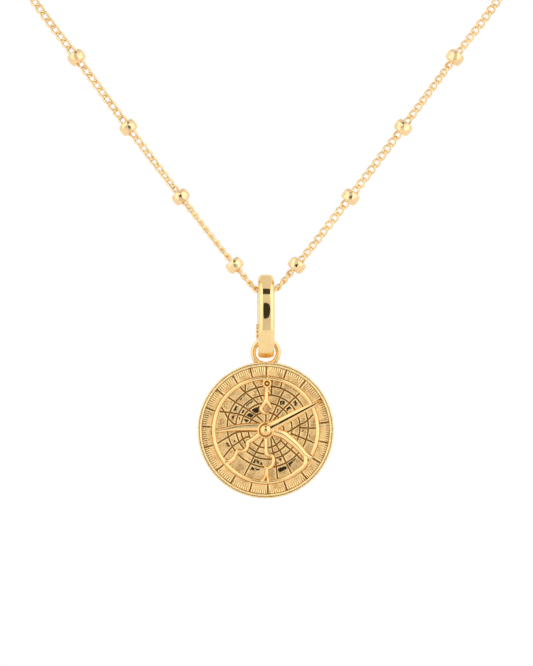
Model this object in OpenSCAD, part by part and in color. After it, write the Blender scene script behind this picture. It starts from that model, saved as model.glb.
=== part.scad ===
// Pendant necklace: a cast round medallion with a small instrument face, its soldered loop,
// a hinged snap bail, and a fine chain with faceted beads and a plain clasp.
// Millimetres. X is right, Y points back, Z is up. The origin is the middle of the clasp at the nape.

/* [Medallion] */
// Diameter of the medallion
disc_d = 20; // [18:0.5:24]
// Thickness of the medallion's field
field_t = 1.2; // [0.9:0.1:1.8]
// Bevel round the back's edge
back_bevel = 0.35; // [0.1:0.05:0.5]
// Width of the rim
rim_w = 0.6; // [0.45:0.05:0.9]
// Height of the rim above the field
rim_h = 0.4; // [0.25:0.05:0.6]
// Bevel on each side of the rim
rim_bevel = 0.12; // [0.05:0.01:0.15]
// Depth and half width of the groove round the rim's top
rim_groove = 0.08; // [0.04:0.01:0.1]

/* [Scale band] */
// Turn of the scale's first division, clockwise from the top, in degrees
scale_turn = 0.6; // [0:0.1:9]
// Width of a long division line
line_w = 0.24; // [0.16:0.02:0.32]
// Depth of the division lines
line_depth = 0.12; // [0.06:0.02:0.2]
// Small marks between two long ones
small_marks = 8; // [4:1:8]
// Width of a small mark
mark_w = 0.14; // [0.1:0.02:0.18]
// Length of a small mark
mark_len = 0.5; // [0.3:0.05:0.7]

/* [Raised work] */
// Diameter of the raised ring at its crest
ring_d = 15.3; // [14.4:0.1:15.6]
// Width of the raised ring
ring_w = 0.6; // [0.4:0.05:0.7]
// Height of the raised ring
ring_h = 0.3; // [0.2:0.05:0.4]
// Height of the pierced plate's arms
arm_h = 0.25; // [0.15:0.05:0.35]
// Diameter of the hub's flange
hub_d = 2.8; // [2.4:0.1:3.2]
// Height of the hub's flange
hub_h = 0.5; // [0.4:0.05:0.6]
// Diameter of the hub's domed rivet
rivet_d = 1.5; // [1.2:0.1:1.8]
// Height of the rivet above the field
rivet_h = 0.85; // [0.7:0.05:1]
// Length of the rule, from the hub's centre to its tip
rule_len = 9.3; // [8.6:0.1:9.4]
// Width of the rule at the hub
rule_w = 1.15; // [0.9:0.05:1.4]
// Width of the rule at its tip
rule_tip_w = 0.4; // [0.3:0.05:0.6]
// Height of the rule's ridge above the field
rule_h = 0.55; // [0.4:0.05:0.65]
// Height of the rule's edges above the field
rule_edge_h = 0.3; // [0.2:0.05:0.35]
// Clockwise turn of the rule from the top, in degrees
rule_turn = 62; // [0:1:90]
// Width of the engraved lines of the plate
plate_line_w = 0.2; // [0.12:0.02:0.28]
// Depth of the engraved lines of the plate
plate_line_depth = 0.1; // [0.05:0.01:0.15]

/* [Loop] */
// Diameter of the loop's wire
loop_wire = 0.78; // [0.6:0.01:0.9]
// Diameter of the loop's hole
loop_hole = 2.92; // [2.8:0.02:3.4]
// How far the loop's outside runs into the rim
loop_sink = 0.85; // [0.6:0.01:0.9]

/* [Bail] */
// Width of the bail's band
bail_w = 2.3; // [1.8:0.1:2.4]
// Thickness of the bail's band
bail_t = 2.08; // [1.6:0.02:2.2]
// Bevel along the band's four edges
bail_bevel = 0.5; // [0.3:0.05:0.6]
// Gap between the bail's front and rear, inside
bail_gap = 2.8; // [2.4:0.1:3.4]
// Length of the bail's straight stretch
bail_straight = 5.4; // [5:0.1:7]
// Turn of the bail's front to the right, in degrees
bail_turn = 3; // [0:1:5]
// Clearance between the chain and the bail's inner top
chain_clear = 0.12; // [0.1:0.01:0.2]
// Clearance between the loop and the bail's inner bottom
loop_clear = 0.08; // [0.06:0.01:0.2]

/* [Bail gate] */
// Diameter of the hinge's knuckle
knuckle_d = 2.4; // [2.2:0.05:2.6]
// Width of the hinge across both cheeks
knuckle_w = 2.6; // [2.4:0.1:2.8]
// Width of the gate's tongue between the cheeks
tongue_w = 0.9; // [0.7:0.05:1.1]
// Side clearance of the tongue
tongue_clear = 0.06; // [0.04:0.01:0.1]
// Clearance round the knuckle
knuckle_clear = 0.15; // [0.12:0.01:0.2]
// Height of the pin above the start of the lower turn
pin_up = 0.42; // [0.3:0.02:0.8]
// Diameter of the hinge pin
pin_d = 0.8; // [0.6:0.05:0.9]
// Running clearance of the gate on its pin
pin_clear = 0.04; // [0.02:0.01:0.06]
// Clearance at the gate's free end
gate_clear = 0.06; // [0.04:0.01:0.1]
// Overlap of the gate's lap joint with the bail
gate_lap = 0.5; // [0.3:0.05:0.7]

/* [Chain and beads] */
// Width of the loop that the chain hangs in round the neck
neck_w = 124; // [112:2:132]
// Depth of that loop, from the nape forward to its lowest point
neck_deep = 96; // [88:2:104]
// Drop of the chain from the nape to its lowest point
neck_drop = 120; // [110:2:130]
// Width of the chain's links
chain_w = 1.13; // [0.9:0.01:1.2]
// Beads on each side of the chain
bead_count = 17; // [15:1:19]
// Plain chain between the last bead's middle and the clasp's end of the chain
bead_tail = 13.7; // [12:0.1:16]
// Diameter of a bead
bead_d = 2.65; // [2.3:0.05:2.9]
// Length of a bead along the chain
bead_len = 1.72; // [1.4:0.01:1.9]
// Width of the belt round a bead's middle
bead_belt = 0.6; // [0.4:0.05:0.8]
// Diameter of a bead's end face
bead_face = 2; // [1.8:0.01:2.2]
// Clearance of the chain in a bead's hole
bead_clear = 0.06; // [0.03:0.01:0.08]

/* [Clasp] */
// Diameter of the clasp's barrel
clasp_d = 3.2; // [2.6:0.1:4]
// Length of the clasp's barrel
clasp_len = 10; // [8:0.5:12]
// Bevel at the clasp's two ends
clasp_bevel = 0.7; // [0.4:0.1:0.9]
// Clearance between the clasp and the chain's ends
clasp_clear = 0.2; // [0.1:0.05:0.3]

/* [Hidden] */
$fn = 48;
// Small overlap that joins one form to the next
bite = 0.1;

// Route of the chain's right half, from its lowest point up and round the neck to the nape,
// as shares of the loop's half width, depth and drop
route_shape = [
    [0, -1, -1],
    [0.0726, -1, -0.965],
    [0.1984, -1, -0.8825],
    [0.3242, -1, -0.7967],
    [0.4484, -1, -0.71],
    [0.55, -0.9948, -0.64],
    [0.6935, -0.9688, -0.5292],
    [0.8387, -0.901, -0.4083],
    [0.9516, -0.7708, -0.2833],
    [1, -0.5781, -0.1667],
    [0.9355, -0.375, -0.0792],
    [0.7258, -0.1823, -0.0292],
    [0.4032, -0.0469, -0.0042],
    [0, 0, 0],
];
route = [for (p = route_shape) [p.x * neck_w / 2, p.y * neck_deep, p.z * neck_drop]];
// Steps of the smooth curve between two points of the route
route_steps = 16;
chain_sides = 8;
bead_sides = 12;

// Smooth curve through a list of rows; before and after guide its two ends
function blend4(a, b, c, d, t) =
    0.5 * (2 * b + (c - a) * t + (2 * a - 5 * b + 4 * c - d) * t * t + (3 * b - a - 3 * c + d) * t * t * t);
function through(rows, steps, before, after) =
    let (p = concat([before], rows, [after]))
    [
        for (i = [0 : len(rows) - 2], k = [0 : steps - 1]) blend4(p[i], p[i + 1], p[i + 2], p[i + 3], k / steps),
        rows[len(rows) - 1]
    ];
function smooth(rows, steps) = through(rows, steps, rows[0], rows[len(rows) - 1]);
function unit(v) = v / norm(v);
function flip(p) = [-p.x, p.y, p.z];

// The chain's middle line, looked up by the distance along it
low = route[0];
line = through(route, route_steps, flip(route[1]), flip(route[len(route) - 2]));
line_s = [for (i = 0, s = 0; i < len(line); s = s + (i + 1 < len(line) ? norm(line[i + 1] - line[i]) : 0), i = i + 1) s];
half_len = line_s[len(line) - 1];
function at(s) = [for (axis = [0 : 2]) lookup(s, [for (i = [0 : len(line) - 1]) [line_s[i], line[i][axis]]])];

// Stops of the chain's straight stretches on one side; each bead sits in the middle of one
bend_stops = [0.7, 1.4];
chain_end = half_len - clasp_len / 2 - clasp_clear;
beads_a_side = round(bead_count);
// Distance between two beads; the first sits half of it from the lowest point
bead_pitch = (chain_end - bead_tail) / (beads_a_side - 0.5);
stops = concat(
    bend_stops,
    [for (i = [0 : 2 * beads_a_side - 1]) (i / 2 + 0.25) * bead_pitch],
    [chain_end]
);
right_side = [for (s = stops) at(s)];
spine = concat([for (i = [len(stops) - 1 : -1 : 0]) flip(right_side[i])], [low], right_side);

// Shape of the chain round its middle line
chain_r = chain_w / 2;
// This direction is never along the chain, so it keeps the rings from twisting
level = [0, 1, -1];
function heading(i) = unit(spine[min(i + 1, len(spine) - 1)] - spine[max(i - 1, 0)]);
function ring_at(i) =
    let (t = heading(i), side = unit(cross(t, level)), up = cross(t, side))
    [for (k = [0 : chain_sides - 1]) spine[i] + chain_r * (cos(k * 360 / chain_sides) * side + sin(k * 360 / chain_sides) * up)];

// Height of the chain's top above its lowest point, beside the middle
function chain_rise(x) = lookup(x, [for (i = [0 : 2 * route_steps]) [line[i].x, line[i].z - low.z]]);
slope_step = 0.02;
function chain_top(x) =
    let (slope = (chain_rise(x + slope_step) - chain_rise(x)) / slope_step)
    chain_rise(x) + chain_r * sqrt(1 + slope * slope);

// Rounds a worked-out height to a thousandth, so that forms that touch share one plane
function tidy(z) = round(z * 1000) / 1000;

// The bail, measured from the chain's lowest point
bail_in_r = bail_gap / 2;
bail_mid_r = bail_in_r + bail_t / 2;
bail_flat = bail_w / 2 - bail_bevel;
bail_top_in = max(chain_top(bail_flat), chain_top(bail_w / 2) - bail_bevel) + chain_clear;
turn_top_z = tidy(bail_top_in - bail_in_r);
turn_low_z = turn_top_z - bail_straight;
bail_low_in = turn_low_z - bail_in_r;
pin_z = turn_low_z + pin_up;
knuckle_r = knuckle_d / 2;
shoulder_r = knuckle_r + knuckle_clear;
// How far the gate's inner half and outer half reach from the pin
gate_outer_r = turn_top_z - pin_z - gate_clear - bite;
gate_inner_r = gate_outer_r - gate_lap;

// The loop and the medallion, measured from the chain's lowest point
loop_r = loop_hole / 2;
loop_mid_r = loop_r + loop_wire / 2;
loop_rest = min(
    sqrt(loop_r * loop_r - bail_flat * bail_flat),
    sqrt(loop_r * loop_r - bail_w * bail_w / 4) + bail_bevel
) - loop_clear;
loop_z = tidy(bail_low_in - loop_rest);
disc_r = disc_d / 2;
disc_z = loop_z - loop_r - loop_wire - disc_r + loop_sink;

// Levels of the medallion, from its middle plane to the front
field_z = field_t / 2;
rim_in_r = disc_r - rim_w;
rim_mid_r = disc_r - rim_w / 2;
ring_r = ring_d / 2;
hub_r = hub_d / 2;
rivet_r = rivet_d / 2;
// Least radius at which the rule starts, inside the hub
rule_start = hub_r / 2;

// Arms of the pierced plate: x, y and width, as shares of the raised ring's radius
left_arm = [
    [-0.10, 0.06, 0.14],
    [-0.39, 0.065, 0.11],
    [-0.59, 0.045, 0.09],
    [-0.78, 0.01, 0.07],
    [-0.98, -0.02, 0.05],
];
low_left_arm = [
    [-0.10, -0.06, 0.07],
    [-0.235, -0.17, 0.07],
    [-0.335, -0.235, 0.07],
    [-0.345, -0.30, 0.06],
    [-0.375, -0.365, 0.06],
    [-0.46, -0.40, 0.06],
    [-0.545, -0.40, 0.06],
    [-0.58, -0.47, 0.06],
    [-0.62, -0.55, 0.07],
    [-0.69, -0.60, 0.08],
    [-0.79, -0.625, 0.09],
];
low_left_barb = [
    [-0.55, -0.42, 0.06],
    [-0.55, -0.37, 0.05],
    [-0.535, -0.33, 0.02],
];
low_stem = [
    [0, -0.10, 0.06],
    [0.005, -0.30, 0.05],
    [0.005, -0.42, 0.05],
    [0.06, -0.48, 0.05],
    [0.13, -0.535, 0.05],
    [0.15, -0.60, 0.05],
    [0.13, -0.68, 0.05],
    [0.07, -0.725, 0.05],
    [0.01, -0.735, 0.05],
    [-0.03, -0.68, 0.02],
];
low_foot = [
    [0.02, -0.70, 0.05],
    [0.025, -0.80, 0.05],
    [0.03, -0.90, 0.08],
    [0.03, -0.99, 0.18],
];
low_right_arm = [
    [0.10, -0.01, 0.13],
    [0.33, -0.085, 0.13],
    [0.46, -0.17, 0.12],
    [0.59, -0.28, 0.11],
    [0.68, -0.38, 0.10],
    [0.77, -0.48, 0.09],
    [0.87, -0.525, 0.07],
];
low_right_branch = [
    [0.72, -0.44, 0.08],
    [0.765, -0.56, 0.08],
    [0.745, -0.67, 0.09],
    [0.66, -0.77, 0.09],
    [0.50, -0.87, 0.07],
    [0.34, -0.94, 0.06],
];
top_stem = [
    [0.026, 0.84, 0.06],
    [0.02, 0.74, 0.06],
    [0.01, 0.66, 0.05],
    [0.013, 0.58, 0.06],
    [-0.04, 0.53, 0.05],
    [-0.065, 0.46, 0.05],
    [-0.05, 0.39, 0.05],
    [-0.01, 0.35, 0.04],
    [0.03, 0.32, 0.015],
];
top_leg = [
    [0.01, 0.58, 0.05],
    [0.055, 0.52, 0.05],
    [0.08, 0.46, 0.04],
    [0.12, 0.41, 0.015],
];
top_hook = [
    [0.015, 0.735, 0.04],
    [0.06, 0.725, 0.04],
    [0.085, 0.685, 0.015],
];
top_head = [
    [-0.01, 0.99, 0.16],
    [0.01, 0.95, 0.12],
    [0.026, 0.90, 0.10],
];
arms = [
    left_arm, low_left_arm, low_left_barb, low_stem, low_foot, low_right_arm, low_right_branch,
    top_stem, top_leg, top_hook, top_head,
];
arm_steps = 3;
// The small eyelet over the top figure: centre, radius and hole, as shares of the ring's radius
eyelet = [0.026, 0.885];
eyelet_r = 0.105;
eyelet_hole = 0.045;

// Engraved circles of the plate: centre x, y and radius, as shares of the ring's radius
plate_circles = [
    [0.04, 0.065, 0.775],
    [0.04, 0.06, 0.615],
    [0.015, 0.03, 0.49],
    [0.005, 0, 0.34],
];
// Engraved rays of the plate: clockwise turn from the top, start and end as shares of the ring's radius
plate_rays = [
    [9, 0.62, 0.93],
    [18, 0.24, 0.93],
    [42, 0.22, 0.95],
    [70, 0.42, 0.95],
    [87.5, 0.50, 0.95],
    [104, 0.50, 0.95],
    [129, 0.30, 0.93],
    [149, 0.22, 0.95],
    [167.5, 0.22, 0.95],
    [205.6, 0.22, 0.95],
    [237.5, 0.34, 0.95],
    [255.6, 0.34, 0.95],
    [292.5, 0.22, 0.93],
    [311, 0.28, 0.95],
    [329, 0.40, 0.95],
    [345, 0.55, 0.95],
];

// The scale's long divisions stand a little unevenly: turns in degrees from the first one, and back to it
division_turns = [
    0, 18.7, 38.1, 60, 82.1, 101, 120.4, 139.2, 159.8, 177.3,
    194, 212.9, 230, 253.5, 272.8, 290, 309.1, 328.3, 345.2, 360,
];

function bead_name(i) = str("bead_", i < 10 ? "0" : "", i);
bead_n = 2 * beads_a_side;

// Stands a form drawn on XY upright, with its top towards the front
module to_front() {
    rotate([90, 0, 0]) children();
}

// Outline of a ribbon whose rows give x, y and width
function ribbon_side(rows, side) = [
    for (i = [0 : len(rows) - 1])
        let (
            t = unit([for (k = [0 : 1]) rows[min(i + 1, len(rows) - 1)][k] - rows[max(i - 1, 0)][k]]),
            off = side * rows[i][2] / 2
        )
        [rows[i].x - t.y * off, rows[i].y + t.x * off]
];
module ribbon(rows) {
    left = ribbon_side(rows, 1);
    right = ribbon_side(rows, -1);
    polygon(concat(left, [for (i = [len(right) - 1 : -1 : 0]) right[i]]));
}

// Turned body of the medallion, with its field at field_z
module medallion_blank() {
    rotate_extrude() polygon([
        [0, -field_z],
        [disc_r - back_bevel, -field_z],
        [disc_r, -field_z + back_bevel],
        [disc_r, field_z + rim_h - rim_bevel],
        [disc_r - rim_bevel, field_z + rim_h],
        [rim_mid_r + rim_groove, field_z + rim_h],
        [rim_mid_r, field_z + rim_h - rim_groove],
        [rim_mid_r - rim_groove, field_z + rim_h],
        [rim_in_r + rim_bevel, field_z + rim_h],
        [rim_in_r, field_z + rim_h - rim_bevel],
        [rim_in_r, field_z],
        [0, field_z],
    ]);
}

// A straight cut in the field, from one radius to another, turned clockwise from the top
module field_cut(turn, r_from, r_to, w, depth) {
    rotate([0, 0, -turn])
        translate([-w / 2, r_from, field_z - depth])
            cube([w, r_to - r_from, depth + bite]);
}

module scale_lines() {
    start_r = ring_r + ring_w / 2 + bite;
    for (i = [0 : len(division_turns) - 2]) {
        from = scale_turn + division_turns[i];
        step = division_turns[i + 1] - division_turns[i];
        field_cut(from, start_r, rim_in_r - bite / 2, line_w, line_depth);
        for (k = [1 : small_marks])
            field_cut(
                from + k / (small_marks + 1) * step,
                rim_in_r - mark_len, rim_in_r - bite / 2, mark_w, line_depth
            );
    }
}

module plate_lines() {
    for (c = plate_circles)
        translate([c.x * ring_r, c.y * ring_r, field_z - plate_line_depth])
            difference() {
                cylinder(r = c[2] * ring_r + plate_line_w / 2, h = plate_line_depth + bite);
                translate([0, 0, -bite])
                    cylinder(r = c[2] * ring_r - plate_line_w / 2, h = plate_line_depth + 3 * bite);
            }
    for (ray = plate_rays)
        field_cut(ray[0], ray[1] * ring_r, ray[2] * ring_r - ring_w / 4, plate_line_w, plate_line_depth);
}

// The raised ring, hub and rivet, turned round the middle
module raised_turnings() {
    crest = ring_w / 4;
    translate([0, 0, field_z]) {
        rotate_extrude() polygon([
            [ring_r - ring_w / 2, -bite],
            [ring_r + ring_w / 2, -bite],
            [ring_r + ring_w / 2, 0],
            [ring_r + crest, ring_h],
            [ring_r - crest, ring_h],
            [ring_r - ring_w / 2, 0],
        ]);
        rotate_extrude() polygon([
            [0, -bite],
            [hub_r, -bite],
            [hub_r, hub_h - rim_bevel],
            [hub_r - rim_bevel, hub_h],
            [rivet_r + rim_bevel, hub_h],
            [rivet_r, hub_h - rim_bevel],
            [rivet_r, rivet_h - rim_bevel],
            [rivet_r - 2 * rim_bevel, rivet_h],
            [0, rivet_h],
        ]);
    }
}

module raised_arms() {
    translate([0, 0, field_z - bite]) {
        for (arm = arms)
            linear_extrude(height = arm_h + bite) ribbon(smooth(arm, arm_steps) * ring_r);
        translate([eyelet.x * ring_r, eyelet.y * ring_r, 0])
            difference() {
                cylinder(r = eyelet_r * ring_r, h = ring_h + bite);
                translate([0, 0, bite]) cylinder(r = eyelet_hole * ring_r, h = ring_h + bite);
            }
    }
}

// The tapering rule, with a ridge along its middle
module rule() {
    a = rule_w / 2;
    b = rule_tip_w / 2;
    rotate([0, 0, -rule_turn]) translate([0, 0, field_z])
        polyhedron(
            points = [
                [-a, rule_start, -bite], [a, rule_start, -bite], [b, rule_len, -bite], [-b, rule_len, -bite],
                [-a, rule_start, rule_edge_h], [a, rule_start, rule_edge_h],
                [b, rule_len, rule_edge_h], [-b, rule_len, rule_edge_h],
                [0, rule_start, rule_h], [0, rule_len, rule_h],
            ],
            faces = [
                [0, 1, 2, 3], [0, 4, 8, 5, 1], [3, 2, 6, 9, 7],
                [1, 5, 6, 2], [3, 7, 4, 0], [5, 8, 9, 6], [8, 4, 7, 9],
            ]
        );
}

module disc() {
    color("#deb878") translate([low.x, low.y, low.z + disc_z]) to_front() {
        difference() {
            medallion_blank();
            scale_lines();
            plate_lines();
        }
        raised_turnings();
        raised_arms();
        rule();
        translate([0, loop_z - disc_z, 0]) rotate_extrude() translate([loop_mid_r, 0]) circle(d = loop_wire);
    }
}

// Cross-section of the bail's band
function band_points(across, deep) = [
    for (s = [[1, 1], [-1, 1], [-1, -1], [1, -1]], k = [0, 1])
        let (first = (s.x * s.y > 0) == (k == 0))
        [
            s.x * (across / 2 - (first ? 0 : bail_bevel)),
            s.y * (deep / 2 - (first ? bail_bevel : 0))
        ]
];
turn_step = 7.5;

// The whole band: its section carried over the top turn, down the front and round the lower turn
module band_loop() {
    section = band_points(bail_w, bail_t);
    m = len(section);
    stations = [
        for (a = [0 : turn_step : 180]) [a, turn_top_z],
        for (a = [180 : turn_step : 360]) [a, turn_low_z]
    ];
    n = len(stations);
    polyhedron(
        points = [
            for (s = stations, p = section)
                [p.x, (bail_mid_r + p.y) * cos(s[0]), (bail_mid_r + p.y) * sin(s[0]) + s[1]]
        ],
        faces = [
            for (i = [0 : n - 1], k = [0 : m - 1])
                [i * m + k, (i + 1) % n * m + k, (i + 1) % n * m + (k + 1) % m, i * m + (k + 1) % m]
        ]
    );
}

// The rear bar between two heights, for the gate
module rear_bar(z_from, z_to) {
    translate([0, bail_mid_r, z_from]) linear_extrude(height = z_to - z_from) polygon(band_points(bail_w, bail_t));
}

// Cylinder along the hinge pin, centred on it
module at_pin(r, w) {
    translate([0, bail_mid_r, pin_z]) rotate([0, 90, 0]) cylinder(r = r, h = w, center = true);
}

module bail_place() {
    translate(low) rotate([0, 0, bail_turn]) children();
}

// Everything in the rear bar behind the lap's middle plane
module lap_behind() {
    translate([-bail_w, bail_mid_r, pin_z]) cube([2 * bail_w, bail_t, bail_straight]);
}

// The way through the rear of the band that the gate closes, with its clearance
module gateway() {
    intersection() {
        translate([-bail_w, bail_in_r / 2, pin_z]) cube([2 * bail_w, 2 * bail_t, bail_straight]);
        union() {
            at_pin(gate_inner_r + gate_clear, 2 * bail_w);
            intersection() {
                at_pin(gate_outer_r + gate_clear, 2 * bail_w);
                translate([0, -gate_clear, 0]) lap_behind();
            }
        }
    }
}

module bail() {
    slot_w = tongue_w + 2 * tongue_clear;
    color("#e0b97c") bail_place() difference() {
        union() {
            difference() {
                band_loop();
                gateway();
            }
            at_pin(knuckle_r, knuckle_w);
        }
        at_pin(shoulder_r, slot_w);
        at_pin(pin_d / 2, 2 * knuckle_w);
    }
}

module bail_gate() {
    color("#d9b070") bail_place() difference() {
        union() {
            intersection() {
                rear_bar(pin_z, pin_z + gate_inner_r + bail_t);
                at_pin(gate_inner_r, 2 * bail_w);
            }
            intersection() {
                rear_bar(pin_z, pin_z + gate_outer_r + bail_t);
                at_pin(gate_outer_r, 2 * bail_w);
                lap_behind();
            }
            at_pin(knuckle_r, tongue_w);
        }
        for (side = [-1, 1])
            translate([side * (tongue_w / 2 + bail_w), 0, 0]) at_pin(shoulder_r, 2 * bail_w);
        at_pin(pin_d / 2 + pin_clear, 2 * knuckle_w);
    }
}

module bail_pin() {
    color("#c9a062") bail_place() at_pin(pin_d / 2, knuckle_w);
}

module chain() {
    n = len(spine);
    m = chain_sides;
    color("#dcb577") polyhedron(
        points = [for (i = [0 : n - 1]) each ring_at(i)],
        faces = concat(
            [[for (k = [m - 1 : -1 : 0]) k]],
            [
                for (i = [0 : n - 2], k = [0 : m - 1])
                    each [
                        [i * m + k, i * m + (k + 1) % m, (i + 1) * m + k],
                        [i * m + (k + 1) % m, (i + 1) * m + (k + 1) % m, (i + 1) * m + k],
                    ]
            ],
            [[for (k = [0 : m - 1]) (n - 1) * m + k]]
        )
    );
}

// Beads 1 to beads_a_side run up the right side, the rest up the left
module bead(i) {
    left = i > beads_a_side;
    k = (left ? i - beads_a_side : i) - 1;
    first = len(bend_stops) + 2 * k;
    a = left ? flip(right_side[first]) : right_side[first];
    b = left ? flip(right_side[first + 1]) : right_side[first + 1];
    t = unit(b - a);
    color("#efc98a") translate((a + b) / 2) rotate([0, acos(t.z), atan2(t.y, t.x)]) difference() {
        rotate_extrude($fn = bead_sides) polygon([
            [0, -bead_len / 2],
            [bead_face / 2, -bead_len / 2],
            [bead_d / 2, -bead_belt / 2],
            [bead_d / 2, bead_belt / 2],
            [bead_face / 2, bead_len / 2],
            [0, bead_len / 2],
        ]);
        cylinder(r = chain_r + bead_clear, h = 2 * bead_len, center = true);
    }
}

module clasp() {
    color("#d8ae6d") rotate([0, 90, 0]) rotate_extrude() polygon([
        [0, -clasp_len / 2],
        [clasp_d / 2 - clasp_bevel, -clasp_len / 2],
        [clasp_d / 2, -clasp_len / 2 + clasp_bevel],
        [clasp_d / 2, clasp_len / 2 - clasp_bevel],
        [clasp_d / 2 - clasp_bevel, clasp_len / 2],
        [0, clasp_len / 2],
    ]);
}

disc();
bail();
bail_gate();
bail_pin();
chain();
clasp();
for (i = [1 : bead_n])
    bead(i);
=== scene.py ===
"""The looks of a pendant necklace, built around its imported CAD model, in metres.

Sizes are written in millimetres and multiplied by MM where they enter Blender. The medallion's relief is
worked out in its own frame: x right, y up and z towards the viewer, with 0 at its middle."""
import math

import bmesh
import bpy
import numpy as np
from mathutils import Matrix, Vector, geometry


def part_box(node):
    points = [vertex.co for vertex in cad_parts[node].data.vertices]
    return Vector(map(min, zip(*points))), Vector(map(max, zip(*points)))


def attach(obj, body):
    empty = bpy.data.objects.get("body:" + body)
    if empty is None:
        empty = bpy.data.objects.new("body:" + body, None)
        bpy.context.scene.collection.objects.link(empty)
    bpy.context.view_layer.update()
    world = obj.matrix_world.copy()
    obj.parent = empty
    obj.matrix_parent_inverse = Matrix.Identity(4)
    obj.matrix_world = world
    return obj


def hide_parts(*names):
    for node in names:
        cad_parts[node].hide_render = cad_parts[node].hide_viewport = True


MM = 0.001
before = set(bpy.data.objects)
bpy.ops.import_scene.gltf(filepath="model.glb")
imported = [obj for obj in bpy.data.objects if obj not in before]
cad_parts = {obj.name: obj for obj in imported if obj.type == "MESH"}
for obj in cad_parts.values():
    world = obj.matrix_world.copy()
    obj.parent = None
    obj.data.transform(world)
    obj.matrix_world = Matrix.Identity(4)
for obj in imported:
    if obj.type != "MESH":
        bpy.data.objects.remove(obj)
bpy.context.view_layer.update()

# Places taken from the frame, in mm
disc_low, disc_high = (Vector(c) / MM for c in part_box("disc"))
DISC_R = (disc_high.x - disc_low.x) / 2
DISC_X = (disc_high.x + disc_low.x) / 2
DISC_Z = disc_low.z + DISC_R
FIELD_T = 1.2
FIELD_Z = FIELD_T / 2
DISC_Y = disc_high.y - FIELD_T / 2

# Camera: the photograph is 533 by 666 pixels, one pixel is PX mm at the medallion, and the medallion's
# middle is DISC_ROW pixels under the photograph's middle
PHOTO_H = 666
PX = 0.14706
DISC_ROW = 97
CAMERA_Y = -486
CAMERA_X = 0.12
CAMERA_Z = DISC_Z + DISC_ROW * PX
SENSOR = 36


def make_camera():
    data = bpy.data.cameras.new("camera")
    data.sensor_width = SENSOR
    data.lens = SENSOR * (DISC_Y - CAMERA_Y) / (PHOTO_H * PX)
    data.clip_start = 0.01
    data.clip_end = 10
    camera = bpy.data.objects.new("camera", data)
    camera.location = Vector((CAMERA_X, CAMERA_Y, CAMERA_Z)) * MM
    camera.rotation_euler = (math.radians(90), 0, 0)
    bpy.context.collection.objects.link(camera)
    bpy.context.scene.camera = camera


# Materials

GOLD = (0.92, 0.62, 0.27)
# Rubbed edges: a pale colour that is a painted highlight, and the smoother roughness of real rubbing
WORN_SHEEN = (1.0, 0.85, 0.45)
WORN_ROUGHNESS = 0.22
POLISHED_ROUGHNESS = 0.06
# Sizes in mm of the zones where the gold's tone, its roughness and the calm of its grain change, the
# brightness between which its tone varies, and where a calm zone ends
TONE_ZONE = 2.5
ROUGH_ZONE = 1.2
CALM_ZONE = 1.6
TONES = (0.95, 1.04)
CALM_STOPS = (0.4, 0.55)
# Pits of a blasted ground, darkened with painted shade over the grain: their tone, the size in mm of the
# zones where they gather, how much the zones count, and where the pits begin and end
PIT_TONE = (1.1, 0.95, 0.75)
PIT_ZONE = 1.25
PIT_ZONE_SHARE = 0.6
PIT_STOPS = (0.66, 0.76)


def shade(colour, factor):
    return tuple(min(1, c * factor) for c in colour) + (1,)


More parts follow.
